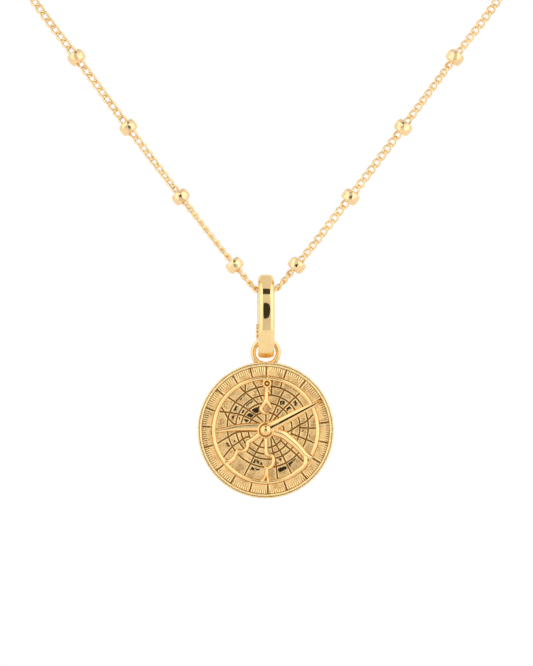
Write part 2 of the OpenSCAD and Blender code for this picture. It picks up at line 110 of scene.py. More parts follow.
def gold(name, colour=GOLD, roughness=0.12, spread=0.05, grain=0.2, grain_depth=0.002, patina_shade=None,
         calm=1, speckle=1):
    """Polished or blasted gold plate. grain is the size of its texture in mm and grain_depth its height
    in mm. The colour given for patina and painted shade gathers where the mesh's "groove" attribute is 1.
    An attribute of rubbing and sheen marks edges that are rubbed smooth and painted with a pale highlight,
    and
    "polish" the places without grain. calm is the share of the grain that is left on its smoother patches,
    and speckle the brightness of its pits, whose dark is painted shade."""
    material = bpy.data.materials.new(name)
    material.use_nodes = True
    nodes, links = material.node_tree.nodes, material.node_tree.links
    shader = nodes["Principled BSDF"]
    shader.inputs["Metallic"].default_value = 1
    place = nodes.new("ShaderNodeTexCoord").outputs["Object"]

    def noise(size, detail=3):
        node = nodes.new("ShaderNodeTexNoise")
        node.inputs["Scale"].default_value = 1 / (size * MM)
        node.inputs["Detail"].default_value = detail
        links.new(place, node.inputs["Vector"])
        return node.outputs["Fac"]

    def ramp(source, low, high, stops=(0.35, 0.65)):
        node = nodes.new("ShaderNodeValToRGB")
        for element, at, value in zip(node.color_ramp.elements, stops, (low, high)):
            element.position = at
            element.color = value
        links.new(source, node.inputs["Fac"])
        return node.outputs["Color"]

    def towards(source, goal, mark, kind="RGBA"):
        """Mixes source with a constant goal by a vertex attribute."""
        share = nodes.new("ShaderNodeAttribute")
        share.attribute_name = mark
        node = nodes.new("ShaderNodeMix")
        node.data_type = kind
        sockets = [socket for socket in node.inputs if socket.enabled]
        links.new(share.outputs["Fac"], sockets[0])
        links.new(source, sockets[1])
        sockets[2].default_value = goal
        return next(socket for socket in node.outputs if socket.enabled)

    tint = ramp(noise(TONE_ZONE), *(shade(colour, tone) for tone in TONES))
    low, high = max(roughness - spread, 0.01), roughness + spread
    rough = ramp(noise(ROUGH_ZONE), (low,) * 3 + (1,), (high,) * 3 + (1,))
    bump = nodes.new("ShaderNodeBump")
    # Dark pits: painted shade in the blast's pits, laid over the grain
    if speckle < 1:
        pits = nodes.new("ShaderNodeMix")
        pits.data_type = "RGBA"
        pits.blend_type = "MULTIPLY"
        pits.inputs["Factor"].default_value = 1
        links.new(tint, pits.inputs["A"])
        zones = nodes.new("ShaderNodeMath")
        zones.operation = "MULTIPLY_ADD"
        links.new(noise(PIT_ZONE, 1), zones.inputs[0])
        zones.inputs[1].default_value = PIT_ZONE_SHARE
        links.new(noise(grain, 4), zones.inputs[2])
        dark = ramp(zones.outputs["Value"], shade(PIT_TONE, speckle), (1, 1, 1, 1), PIT_STOPS)
        links.new(dark, pits.inputs["B"])
        tint = pits.outputs["Result"]
    # Patina and painted shade in the hollows; on rubbed edges a pale painted highlight and smoother gold
    if patina_shade:
        tint = towards(tint, tuple(patina_shade) + (1,), "groove")
        tint = towards(tint, WORN_SHEEN + (1,), "wear")
        rough = towards(rough, POLISHED_ROUGHNESS, "polish", "FLOAT")
        rough = towards(rough, WORN_ROUGHNESS, "wear", "FLOAT")
        strength = ramp(noise(CALM_ZONE, 1), (calm,) * 3 + (1,), (1, 1, 1, 1), CALM_STOPS)
        links.new(towards(strength, 0.0, "polish", "FLOAT"), bump.inputs["Strength"])
    links.new(tint, shader.inputs["Base Color"])
    links.new(rough, shader.inputs["Roughness"])
    bump.inputs["Distance"].default_value = grain_depth * MM
    links.new(noise(grain, 4), bump.inputs["Height"])
    links.new(bump.outputs["Normal"], shader.inputs["Normal"])
    return material


def glow(name, strength):
    material = bpy.data.materials.new(name)
    material.use_nodes = True
    nodes, links = material.node_tree.nodes, material.node_tree.links
    nodes.remove(nodes["Principled BSDF"])
    light = nodes.new("ShaderNodeEmission")
    light.inputs["Color"].default_value = (1, 1, 1, 1)
    light.inputs["Strength"].default_value = strength
    links.new(light.outputs["Emission"], nodes["Material Output"].inputs["Surface"])
    return material


POLISHED = gold("polished_gold", roughness=0.14, spread=0.05, grain=0.5, grain_depth=0.003)
RAISED_GOLD = gold("raised_gold", colour=(0.97, 0.68, 0.315), roughness=0.15, spread=0.05, grain=0.4,
                   grain_depth=0.006, patina_shade=(0.6, 0.28, 0.075))
LOOP_GOLD = gold("loop_gold", colour=(0.95, 0.67, 0.32), roughness=0.28, spread=0.05, grain=0.5,
                 grain_depth=0.004)
RIM_GOLD = gold("rim_gold", colour=(1.0, 0.65, 0.3), roughness=0.22, spread=0.05, grain=0.5,
                grain_depth=0.003, patina_shade=(0.88, 0.41, 0.12))
BLASTED = gold("blasted_gold", colour=(0.93, 0.61, 0.265), roughness=0.33, spread=0.05, grain=0.15,
               grain_depth=0.09, patina_shade=(0.36, 0.14, 0.02), speckle=0.5)
PLATE_GOLD = gold("plate_gold", colour=(1.0, 0.65, 0.29), roughness=0.36, spread=0.05, grain=0.17,
                  grain_depth=0.06, patina_shade=(0.3, 0.115, 0.02), calm=0.4, speckle=0.5)
RULE_GOLD = gold("rule_gold", roughness=0.14, spread=0.04, grain=0.5, grain_depth=0.003,
                 patina_shade=(0.24, 0.16, 0.07))
CHAIN_GOLD = gold("chain_gold", colour=(0.94, 0.69, 0.37), roughness=0.15, spread=0.04, grain=0.4,
                  grain_depth=0.002)
BEAD_GOLD = gold("bead_gold", colour=(0.95, 0.68, 0.37), roughness=0.13, spread=0.03, grain=0.6,
                 grain_depth=0.003)
BAIL_GOLD = gold("bail_gold", colour=(0.97, 0.70, 0.33), roughness=0.06, spread=0.02, grain=1.5,
                 grain_depth=0.001)


# Mesh helpers

def add_mesh(name, verts, faces, materials, smooth_angle=None, marks=None, **attributes):
    """A mesh object from vertices in mm. marks gives each face's material, and attributes a value for
    each vertex."""
    mesh = bpy.data.meshes.new(name)
    mesh.from_pydata([Vector(v) * MM for v in verts], [], faces)
    for material in materials:
        mesh.materials.append(material)
    if marks is not None:
        mesh.polygons.foreach_set("material_index", marks)
    for label, values in attributes.items():
        mesh.attributes.new(label, "FLOAT", "POINT").data.foreach_set("value", values)
    mesh.validate()
    piece = bpy.data.objects.new(name, mesh)
    bpy.context.collection.objects.link(piece)
    fix = bmesh.new()
    fix.from_mesh(mesh)
    bmesh.ops.recalc_face_normals(fix, faces=fix.faces)
    fix.to_mesh(mesh)
    fix.free()
    if smooth_angle is not None:
        mesh.shade_smooth()
        mesh.set_sharp_from_angle(angle=math.radians(smooth_angle))
    return piece


def from_face(points):
    """Points of the medallion's own frame, placed in the row frame, in mm."""
    return [(DISC_X + x, DISC_Y - z, DISC_Z + y) for x, y, z in points]


class Form:
    """Gathers closed forms that become one mesh."""

    def __init__(self):
        self.verts, self.faces, self.groove = [], [], []

    def add(self, verts, faces, groove=None):
        start = len(self.verts)
        self.verts += list(verts)
        self.faces += [tuple(start + i for i in face) for face in faces]
        self.groove += list(groove) if groove else [0] * (len(self.verts) - start)


def rings_to_faces(rings, sides, closed=False):
    """Faces between rings of the same number of points, with end caps unless the rings close on
    themselves."""
    faces = []
    for i in range(rings if closed else rings - 1):
        a, b = i * sides, (i + 1) % rings * sides
        for k in range(sides):
            n = (k + 1) % sides
            faces.append((a + k, a + n, b + n, b + k))
    if not closed:
        faces.append(tuple(range(sides))[::-1])
        faces.append(tuple((rings - 1) * sides + k for k in range(sides)))
    return faces


def spline(rows, steps, before=None, after=None):
    """A smooth curve through rows of numbers; before and after guide its two ends."""
    rows = np.array(rows, float)
    p = np.vstack([rows[0] if before is None else before, rows, rows[-1] if after is None else after])
    out = []
    for i in range(len(rows) - 1):
        a, b, c, d = p[i:i + 4]
        for k in range(steps):
            t = k / steps
            out.append(0.5 * (2 * b + (c - a) * t + (2 * a - 5 * b + 4 * c - d) * t * t
                              + (3 * b - a - 3 * c + d) * t ** 3))
    out.append(rows[-1])
    return np.array(out)


def unit(v):
    return v / np.linalg.norm(v)


# The chain: its route repeats the CAD's, as shares of the loop's half width, depth and drop in mm

NECK = np.array([62, 96, 120])
ROUTE = NECK * [
    (0, -1, -1), (0.0726, -1, -0.965), (0.1984, -1, -0.8825), (0.3242, -1, -0.7967),
    (0.4484, -1, -0.71), (0.55, -0.9948, -0.64), (0.6935, -0.9688, -0.5292), (0.8387, -0.901, -0.4083),
    (0.9516, -0.7708, -0.2833), (1, -0.5781, -0.1667), (0.9355, -0.375, -0.0792),
    (0.7258, -0.1823, -0.0292), (0.4032, -0.0469, -0.0042), (0, 0, 0),
]
LINK_PITCH = 1.27994
LINK_W = 1.36
WIRE = 0.4
LINK_LEN = LINK_PITCH + 2 * WIRE
LINK_TWIST = 45
LINKS_A_SIDE = 175
LINK_STEPS = 16
WIRE_SIDES = 6
BEADS_A_SIDE = 17
LINKS_A_BEAD = 10
# Turn of the links about the chain in degrees, at distances from the lowest point in mm
ROLL_LEFT = [(0, 70), (14, 66), (20, 50), (28, 25), (45, 5), (70, 0), (130, 60), (230, 20)]
ROLL_RIGHT = [(0, 80), (5, 60), (9, 40), (16, 20), (28, 25), (42, 48), (47, 42), (53, 18), (70, 10),
              (130, 70), (230, 20)]

flip = np.array([-1, 1, 1])
side_line = spline(ROUTE, 16, ROUTE[1] * flip, ROUTE[-2] * flip)
side_run = np.concatenate([[0], np.cumsum(np.linalg.norm(np.diff(side_line, axis=0), axis=1))])


def along(s):
    """The point of the chain's middle line at distance s, to the right if s is positive."""
    point = np.array([np.interp(abs(s), side_run, side_line[:, k]) for k in range(3)])
    return point if s >= 0 else point * flip


def link_frames():
    """(middle, direction, sideways, towards the viewer) of each link, by its number from the lowest."""
    frames = {}
    for side in (1, -1):
        towards = np.array([0, -1, 0])
        roll_rows = ROLL_RIGHT if side > 0 else ROLL_LEFT
        for i in range(LINKS_A_SIDE + 1):
            a, b = along((i - 0.5) * side * LINK_PITCH), along((i + 0.5) * side * LINK_PITCH)
            ahead = unit(b - a) * side
            towards = unit(towards - towards.dot(ahead) * ahead)
            roll = math.radians(np.interp(i * LINK_PITCH, *zip(*roll_rows)))
            wide = np.cross(ahead, towards)
            frames[i * side] = (
                (a + b) / 2, ahead,
                math.cos(roll) * wide + math.sin(roll) * towards,
                math.cos(roll) * towards - math.sin(roll) * wide,
            )
    return frames


def link_rings(middle, ahead, wide, towards):
    """Rings of wire round one curb link, which is twisted so that its ends stand across each other."""
    half_len, half_w = (LINK_LEN - WIRE) / 2, (LINK_W - WIRE) / 2
    spine = []
    for k in range(LINK_STEPS):
        phi = 2 * math.pi * k / LINK_STEPS
        x, y = half_len * math.cos(phi), half_w * math.sin(phi)
        twist = math.radians(LINK_TWIST) * math.cos(phi)
        spine.append(middle + x * ahead + y * (math.cos(twist) * wide + math.sin(twist) * towards))
    points = []
    for k in range(LINK_STEPS):
        heading = unit(spine[(k + 1) % LINK_STEPS] - spine[k - 1])
        outward = spine[k] - middle
        outward = unit(outward - outward.dot(heading) * heading)
        up = np.cross(heading, outward)
        for m in range(WIRE_SIDES):
            angle = 2 * math.pi * m / WIRE_SIDES
            points.append(spine[k] + WIRE / 2 * (math.cos(angle) * outward + math.sin(angle) * up))
    return points


def make_chain(frames):
    form = Form()
    faces = rings_to_faces(LINK_STEPS, WIRE_SIDES, closed=True)
    for number in sorted(frames):
        form.add(link_rings(*frames[number]), faces)
    piece = add_mesh("chain_links", form.verts, form.faces, [CHAIN_GOLD], smooth_angle=75)
    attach(piece, "necklace")
    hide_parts("chain")


# Beads

BEAD_SIDES = 14
# Share of its radius by which a bead's corners differ, as its facets are cut by hand
BEAD_UNEVEN = 0.03
# Rings of a bead's profile: radius, distance along the chain, and whether it is turned half a facet
BEAD_ROWS = [
    (0.6, -0.7, 0), (1.02, -0.86, 0), (1.21, -0.7, 1), (1.325, -0.28, 0),
    (1.325, 0.28, 1), (1.21, 0.7, 0), (1.02, 0.86, 1), (0.6, 0.7, 1),
]


def bead_mesh(middle, ahead, wide, towards):
    points, faces = [], []
    for row, (radius, x, turned) in enumerate(BEAD_ROWS):
        for k in range(BEAD_SIDES):
            angle = 2 * math.pi * (k + turned / 2) / BEAD_SIDES
            cut = radius * (1 - BEAD_UNEVEN * (0.5 + 0.5 * math.sin(7.3 * k + 3.1 * row)))
            points.append(middle + x * ahead + cut * (math.cos(angle) * wide + math.sin(angle) * towards))
    rows = len(BEAD_ROWS)
    for i in range(rows):
        a, b = i * BEAD_SIDES, (i + 1) % rows * BEAD_SIDES
        turn = BEAD_ROWS[(i + 1) % rows][2] - BEAD_ROWS[i][2] if i + 1 < rows else 0
        for k in range(BEAD_SIDES):
            n = (k + 1) % BEAD_SIDES
            if turn == 0:
                faces.append((a + k, a + n, b + n, b + k))
            elif turn > 0:
                faces += [(a + k, a + n, b + k), (a + n, b + n, b + k)]
            else:
                faces += [(a + k, a + n, b + n), (a + k, b + n, b + k)]
    return points, faces


def make_beads(frames):
    for k in range(2 * BEADS_A_SIDE):
        side = 1 if k < BEADS_A_SIDE else -1
        number = side * LINKS_A_BEAD * (k % BEADS_A_SIDE + 0.5)
        points, faces = bead_mesh(*frames[int(number)])
        name = f"bead_{k + 1:02d}"
        piece = add_mesh("cut_" + name, points, faces, [BEAD_GOLD])
        bevel_edges(piece, 0.035, 1, 12)
        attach(piece, "necklace")
        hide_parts(name)


def bevel_edges(piece, width, segments, angle):
    """Rounds the edges of a piece sharper than angle, in degrees, by width in mm."""
    bevel = piece.modifiers.new("round", "BEVEL")
    bevel.width = width * MM
    bevel.segments = segments
    bevel.limit_method = "ANGLE"
    bevel.angle_limit = math.radians(angle)
    bpy.context.view_layer.objects.active = piece
    with bpy.context.temp_override(object=piece, active_object=piece, selected_objects=[piece]):
        bpy.ops.object.modifier_apply(modifier=bevel.name)


# The medallion

RIM_W = 0.6
RIM_H = 0.4
# Radii of the rounding at the back's edge and of the rim's two rolls
BACK_ROUND = 0.35
ROLL_ROUND = 0.14
# The fine groove in the rim: distance in from the edge, and depth under the rim's top
RIM_LINE = [(0.21, 0.07), (0.262, 0.11), (0.278, 0.11), (0.33, 0.07)]
# Middle and half width of the band of the rim's groove that is darkened with patina and painted shade, and
# the rim top's share of rubbing and painted highlight
RIM_LINE_IN = 0.27
RIM_LINE_HALF = 0.06
RIM_WEAR_SHEEN = 0.7
# The step inside the rim: the radius where its painted shade begins, and the shade's strength
STEP_FROM = 9.3
STEP_TONE = 0.6
RECESS = 0.24
RING_R = 7.65
RING_W = 0.6
RING_H = 0.34
ARM_H = 0.36
ARM_WIDEN = 1.1
# Turns of the scale's long lines from the top, clockwise, in degrees
LONG_MARKS = (
    0.6, 19.3, 38.7, 60.6, 82.7, 101.6, 121, 139.8, 160.4, 177.9, 194.6, 213.5, 230.6, 254.1, 273.4, 290.6,
    309.7, 328.9, 345.8,
)
# Radii between which they deepen from nothing
LONG_FADE = (7.98, 8.1)
SMALL_MARKS = 180
# Small marks: mean radius of their inner ends, how much it varies, the turn where they are longest, the
# length over which they deepen, the distances from a long line over which they begin, their depth, the
# sharpness of their ridges, their share of polish and how far out it begins
MARK_IN_R = 8.63
MARK_REACH = 0.13
MARKS_LONGEST = 310
MARK_FADE = 0.15
MARK_CLEAR = (0.14, 0.26)
MARK_DEPTH = 0.1
MARK_SHARP = 1.4
MARK_POLISH = 0.6
MARK_POLISH_IN = 0.05
# Depth below the field against strength of the patina and painted shade, height against rubbing and painted
# highlight of the marks' ridges, and the height at which a line's bank is rubbed smooth and fully painted
# with a highlight
GROOVE_TONE = ((0, 0.09, 0.13), (0, 0.5, 1))
RIDGE_WEAR_SHEEN = ((-0.05, -0.02), (0, 1))
BANK_WORN_SHEEN = 0.018
SPOKES = SMALL_MARKS * 8
# Height of the ground beside the middle of an engraved line: distance and height in mm
LINE_PROFILE = np.array([
    (0, -0.15), (0.055, -0.13), (0.095, -0.08), (0.125, -0.02), (0.15, 0.02), (0.18, 0.032), (0.22, 0.02),
    (0.28, 0),
])
LIMB_LINE = 1.05
LIMB_RADII = (
    9.35, 9.25, 9.15, 9.05, 8.95, 8.85, 8.78, 8.72, 8.66, 8.6, 8.54, 8.48, 8.42, 8.3, 8.15, 8.05, 7.98, 7.9,
    7.6, 7.4,
)


def body_rows():
    """The turned body's profile from the back's middle round the rim to under the plate, as radius and
    height."""
    r = DISC_R
    top = FIELD_Z + RIM_H
    rows = [(0, -FIELD_Z), (4.5, -FIELD_Z), (r - BACK_ROUND, -FIELD_Z)]
    rows += [(r - BACK_ROUND + BACK_ROUND * math.sin(a), -FIELD_Z + BACK_ROUND - BACK_ROUND * math.cos(a))
             for a in np.radians((22, 45, 68, 90))]
    rows += [(r, 0.2)]
    rows += [(r - ROLL_ROUND + ROLL_ROUND * math.cos(a), top - 0.17 + ROLL_ROUND * math.sin(a))
             for a in np.radians((0, 20, 40, 60, 80, 100, 120))]
    rows += [(r - x, top - depth) for x, depth in RIM_LINE]
    rows += [(r - 0.46 + ROLL_ROUND * math.cos(a), top - ROLL_ROUND + ROLL_ROUND * math.sin(a))
             for a in np.radians((30, 50, 70, 90, 110, 130, 150, 170))]
    rows += [(r - RIM_W, FIELD_Z + 0.08), (r - RIM_W - 0.02, FIELD_Z - 0.03)]
    rows += [(x, FIELD_Z) for x in LIMB_RADII]
    rows += [(7.35, FIELD_Z - RECESS), (0, FIELD_Z - RECESS)]
    return rows


def marks_from(turn):
    """Radius where the small marks begin: they are longest at the upper left."""
    return MARK_IN_R - MARK_REACH * math.cos(math.radians(turn - MARKS_LONGEST))


def scale_height(turn, radius):
    """Height of the scale's engraving at a turn from the top in degrees and a radius in mm."""
    off = min(abs((turn - mark + 180) % 360 - 180) for mark in LONG_MARKS)
    line = np.interp(math.radians(off) * radius / LIMB_LINE, *LINE_PROFILE.T)
    height = line * np.interp(radius, LONG_FADE, (0, 1))
    inner = marks_from(turn)
    if radius > inner and height > -0.01:
        fade = np.interp(radius, (inner, inner + MARK_FADE), (0, 1))
        fade *= np.interp(math.radians(off) * radius, MARK_CLEAR, (0, 1))
        dip = 0.5 + 0.5 * math.cos(math.radians(turn) * SMALL_MARKS)
        height -= fade * MARK_DEPTH * dip ** MARK_SHARP
    return height


def make_body():
    rows = body_rows()
    points, groove, wear, polish = [], [], [], []
    for radius, height in rows[1:-1]:
        for k in range(SPOKES):
            turn = 360 * k / SPOKES
            inner = marks_from(turn) + MARK_POLISH_IN
            scale = np.interp(radius, (inner, inner + MARK_FADE), (0, 1)) if height == FIELD_Z else 0
            polish.append(MARK_POLISH * scale)
            carved = scale_height(turn, radius) if height == FIELD_Z else 0
            a = math.radians(turn)
            points.append((radius * math.sin(a), radius * math.cos(a), height + carved))
            # Patina and painted shade go in the rim's groove, at the step under the rim and in the carving;
            # rubbing and a painted highlight go on the marks' ridges, the lines' banks and the rim's top
            in_rim_line = abs(radius - DISC_R + RIM_LINE_IN) < RIM_LINE_HALF and height > FIELD_Z
            at_step = STEP_FROM < radius < DISC_R - RIM_W + 0.001 and height < FIELD_Z + 0.1
            depth = np.interp(-carved, *GROOVE_TONE)
            groove.append(1 if in_rim_line else STEP_TONE if at_step else depth)
            worn_sheen = max(scale * np.interp(carved, *RIDGE_WEAR_SHEEN), min(1, max(0, carved) / BANK_WORN_SHEEN))
            if height > FIELD_Z + 0.25 and not in_rim_line:
                worn_sheen = RIM_WEAR_SHEEN
            wear.append(0 if at_step else worn_sheen)
    count = len(rows) - 2
    faces = rings_to_faces(count, SPOKES)[:-2]
    back, front = len(points), len(points) + 1
    points += [(0, 0, rows[0][1]), (0, 0, rows[-1][1])]
    groove += [0, 0]
    wear += [0, 0]
    polish += [0, 0]
    last = (count - 1) * SPOKES
    for k in range(SPOKES):
        n = (k + 1) % SPOKES
        faces += [(k, n, back), (last + n, last + k, front)]
    # The body is of blasted gold, rubbed smooth at the rim and painted brighter there as a highlight. Only
    # the back's middle is plain
    marks = [1] * ((count - 1) * SPOKES) + [0, 1] * SPOKES
    piece = add_mesh("medallion_body", from_face(points), faces, [RIM_GOLD, BLASTED], 50, marks,
                     groove=groove, wear=wear, polish=polish)
    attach(piece, "medallion")
    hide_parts("disc")


# Engraved circles of the plate: centre x, y and radius in mm
PLATE_CIRCLES = [(0.3, 0.5, 5.95), (0.32, 0.45, 4.72), (0.1, 0.25, 3.76), (0.05, 0, 2.6)]
# Engraved rays of the plate: points in mm from the medallion's middle
PLATE_RAYS = [
    [(-0.5, 4.3), (-1.0, 5.5), (-1.5, 6.5), (-1.9, 7.1)],
    [(-1.0, 3.8), (-2.0, 4.7), (-3.0, 5.5), (-3.75, 6.3)],
    [(-3.0, 5.5), (-3.0, 6.75)],
    [(-0.5, 1.3), (-1.3, 2.1), (-2.4, 2.85), (-3.4, 3.5), (-4.5, 4.15), (-5.55, 4.85)],
    [(-1.0, 1.0), (-2.0, 1.5), (-3.0, 2.0), (-4.0, 2.35), (-5.0, 2.55), (-6.0, 2.65), (-6.75, 2.75)],
    [(-6.5, 3.3), (-6.0, 2.6), (-5.5, 1.7), (-4.6, 0.85)],
    [(-1.2, -0.1), (-3.5, -0.15), (-4.5, -0.4), (-5.5, -1.0), (-6.2, -1.4), (-7.05, -1.95)],
    [(-2.3, -0.9), (-3.0, -1.1), (-4.0, -1.8), (-4.8, -2.35), (-5.5, -3.1), (-6.2, -4.0)],
    [(-0.3, -1.3), (-1.0, -2.5), (-1.7, -3.8), (-2.3, -5.1), (-2.8, -6.0), (-3.15, -6.75)],
    [(0.75, -1.2), (0.9, -2.5), (1.1, -3.3), (1.35, -4.2), (1.5, -5.0), (1.62, -6.0), (1.72, -7.2)],
    [(0.95, -1.0), (1.5, -2.1), (2.05, -3.0), (2.6, -4.0), (3.1, -5.0), (3.8, -6.4)],
    [(2.2, -1.5), (3.0, -2.3), (3.7, -2.9), (4.5, -3.6), (5.5, -4.6)],
    [(3.0, -0.4), (4.0, 0.15), (5.0, 0.8), (5.8, 1.15), (6.5, 1.8), (7.1, 2.5)],
    [(4.9, 0.4), (6.0, 0.3), (7.5, 0.3)],
    [(3.7, -0.5), (5.0, -1.0), (5.7, -1.3), (6.5, -1.6), (7.3, -2.0)],
    [(0.82, 5.15), (0.86, 6.3), (0.92, 7.3)],
    [(0.6, 1.3), (1.2, 2.6), (1.7, 3.7), (2.05, 4.6), (2.5, 5.5), (2.85, 6.1)],
    [(2.2, 6.3), (2.4, 7.1)],
    [(1.0, 1.2), (1.6, 2.0), (2.6, 3.1), (3.5, 4.0), (4.4, 4.9), (5.15, 5.5)],
    [(0.03, 1.3), (0.03, 1.8), (0.03, 2.35)],
]
# Polished spots of the plate: corners in mm
PLATE_SPOTS = [
    [(-2.2, 2.85), (-1.8, 3.2), (-0.95, 3.55), (-1.1, 2.45), (-1.6, 2.55)],
    [(-2.9, 2.1), (-2.5, 2.58), (-1.65, 2.25), (-1.95, 1.72), (-2.4, 1.8)],
    [(-3.3, 1.65), (-2.9, 1.7), (-2.25, 1.42), (-2.8, 1.2)],
    [(-4.15, 4.5), (-3.0, 5.35), (-2.9, 5.15), (-4.05, 4.3)],
    [(-3.0, 3.7), (-1.95, 4.45), (-1.85, 4.25), (-2.9, 3.5)],
    [(-4.4, 3.65), (-4.15, 3.55), (-4.5, 2.85), (-4.75, 2.95)],
    [(-3.3, 3.1), (-3.05, 3.0), (-3.25, 2.6), (-3.6, 2.45), (-3.55, 2.75)],
    [(-4.95, 2.15), (-4.55, 2.1), (-4.9, 1.6)],
    [(-3.95, 1.95), (-3.7, 1.9), (-3.8, 1.5), (-4.0, 1.6)],
    [(2.0, 4.4), (2.38, 4.38), (2.3, 3.72), (2.08, 3.85)],
    [(2.44, 4.38), (2.88, 4.18), (2.62, 3.62), (2.46, 3.9)],
    [(3.92, 4.12), (4.35, 4.4), (4.5, 4.22), (4.06, 3.95)],
    [(4.36, 4.15), (4.6, 4.0), (4.35, 3.48), (4.2, 3.62)],
    [(3.0, 3.25), (3.55, 3.6), (3.9, 3.2), (3.4, 3.1), (3.15, 2.72)],
    [(1.55, 3.1), (1.8, 3.12), (1.75, 2.62), (1.6, 2.66)],
    [(5.25, -0.05), (5.5, 0.2), (5.55, 0.05), (5.35, -0.15)],
    [(5.98, -0.3), (6.22, -0.32), (6.48, -0.92), (6.2, -0.84)],
    [(-5.85, -1.88), (-5.3, -1.98), (-5.22, -2.3), (-5.5, -2.38)],
    [(-4.6, -1.55), (-4.4, -1.65), (-4.7, -1.85)],
    [(-1.85, -4.24), (-1.52, -4.28), (-1.75, -4.95), (-2.0, -4.82)],
    [(-1.3, -4.35), (-1.06, -4.38), (-1.0, -4.88), (-1.18, -4.92)],
    [(-0.7, -4.8), (-0.46, -4.85), (-0.65, -5.3), (-0.82, -5.16)],
    [(-2.0, -5.35), (-1.7, -5.65), (-1.75, -5.8), (-2.35, -5.9)],
    [(-1.55, -5.6), (-0.9, -5.7), (-0.9, -5.85), (-1.3, -5.9)],
    [(1.9, -4.1), (2.35, -4.05), (2.3, -4.3), (2.0, -4.4)],
    [(1.6, -4.7), (1.75, -4.85), (1.7, -5.1), (1.5, -4.95)],
    [(1.7, -5.6), (3.0, -5.2), (3.15, -5.7), (2.7, -5.87), (2.2, -6.1), (1.75, -5.95)],
    [(-0.0, -6.7), (0.14, -7.2), (-0.22, -7.2)],
    [(3.2, -4.9), (4.5, -4.0), (4.4, -4.25), (3.9, -4.75), (3.5, -5.3)],
]
# Width of a spot's edge, spacing of the mesh in the spots, and how ragged their outlines are, in mm
SPOT_EDGE = 0.045
SPOT_GRID = 0.08
SPOT_RAGGED = 0.035
RAGGED_WAVES = np.array([[19, -13], [11, 23]]), np.array([[-9, 31], [29, 7]])
# Height of the plate's hollow in mm for each square mm from its middle
PLATE_HOLLOW = 0.0008
PLATE_R = 7.5
PLATE_BASE = 0.4
PLATE_EDGE_STEPS = 180
PLATE_GRID = 0.22
# Distances from a line at which the mesh follows it, and those that the plain grid and the grid of the
# spots keep from it
LINE_STEPS = (0, 0.055, 0.095, 0.135, 0.18, 0.235)
LINE_CLEAR = 0.3
LINE_CLEAR_IN_SPOT = 0.1
# Distance from a line where a spot's polish begins, and the length over which it grows
POLISH_FROM = 0.12
POLISH_OVER = 0.05
# Distance from a line against strength of the patina and painted shade, and against rubbing and painted
# highlight
LINE_TONE = ((0.06, 0.12), (1, 0))
LINE_WEAR_SHEEN = ((0.1, 0.135, 0.18, 0.24), (0, 1, 0.9, 0))
# The plate's uneven ground: direction and phase of its waves, their rate and depth, and the share of the
# depth that the polished spots lose
PLATE_WAVES = ((1.1, 0.7, 0.3), (-0.8, 1.5, 1.9), (1.9, -1.2, 4.0), (0.4, 2.4, 2.6))
WAVE_RATE = 2.2
WAVE_DEPTH = 0.003
WAVE_LOSS = 0.8


def engraved_lines():
    """Middle lines of the plate's engraving, as arrays of points in mm."""
    turn = np.linspace(0, 2 * math.pi, 97)
    lines = [np.array([x + r * np.cos(turn), y + r * np.sin(turn)]).T for x, y, r in PLATE_CIRCLES]
    return lines + [spline(ray, 4) for ray in PLATE_RAYS]


def offset_line(line, distance):
    closed = np.allclose(line[0], line[-1])
    ahead = np.gradient(line, axis=0)
    if closed:
        ahead[0] = ahead[-1] = line[1] - line[-2]
    ahead /= np.linalg.norm(ahead, axis=1)[:, None]
    return line + distance * np.column_stack([-ahead[:, 1], ahead[:, 0]])


def distance_to(points, lines):
    """Distance in mm from each point to the nearest line."""
    best = np.full(len(points), np.inf)
    for line in lines:
        for a, b in zip(line[:-1], line[1:]):
            t = np.clip(((points - a) @ (b - a)) / max((b - a) @ (b - a), 1e-12), 0, 1)
            best = np.minimum(best, np.linalg.norm(points - a - t[:, None] * (b - a), axis=1))
    return best


def outset(corners, distance):
    """A convex outline pushed out from its middle."""
    corners = np.array(corners)
    away = corners - corners.mean(axis=0)
    return corners + distance * away / np.linalg.norm(away, axis=1)[:, None]


def in_spots(points, margin):
    """Which points lie inside the plate's polished spots, pushed out by a margin in mm."""
    found = np.zeros(len(points), bool)
    for corners in PLATE_SPOTS:
        rim = outset(corners, margin)
        inside = np.zeros(len(points), bool)
        for (ax, ay), (bx, by) in zip(rim, np.roll(rim, -1, axis=0)):
            if ay != by:
                crosses = (points[:, 1] < ay) != (points[:, 1] < by)
                inside ^= crosses & (points[:, 0] < ax + (points[:, 1] - ay) * (bx - ax) / (by - ay))
        found |= inside
    return found


def polish_at(points):
    """1 inside the plate's polished spots, whose outlines are ragged, and 0 outside, for each point."""
    coarse, fine = RAGGED_WAVES
    ragged = np.sin(points @ coarse) + 0.6 * np.sin(points @ fine + 1)
    return in_spots(points + SPOT_RAGGED * ragged, 1.3 * SPOT_EDGE).astype(float)


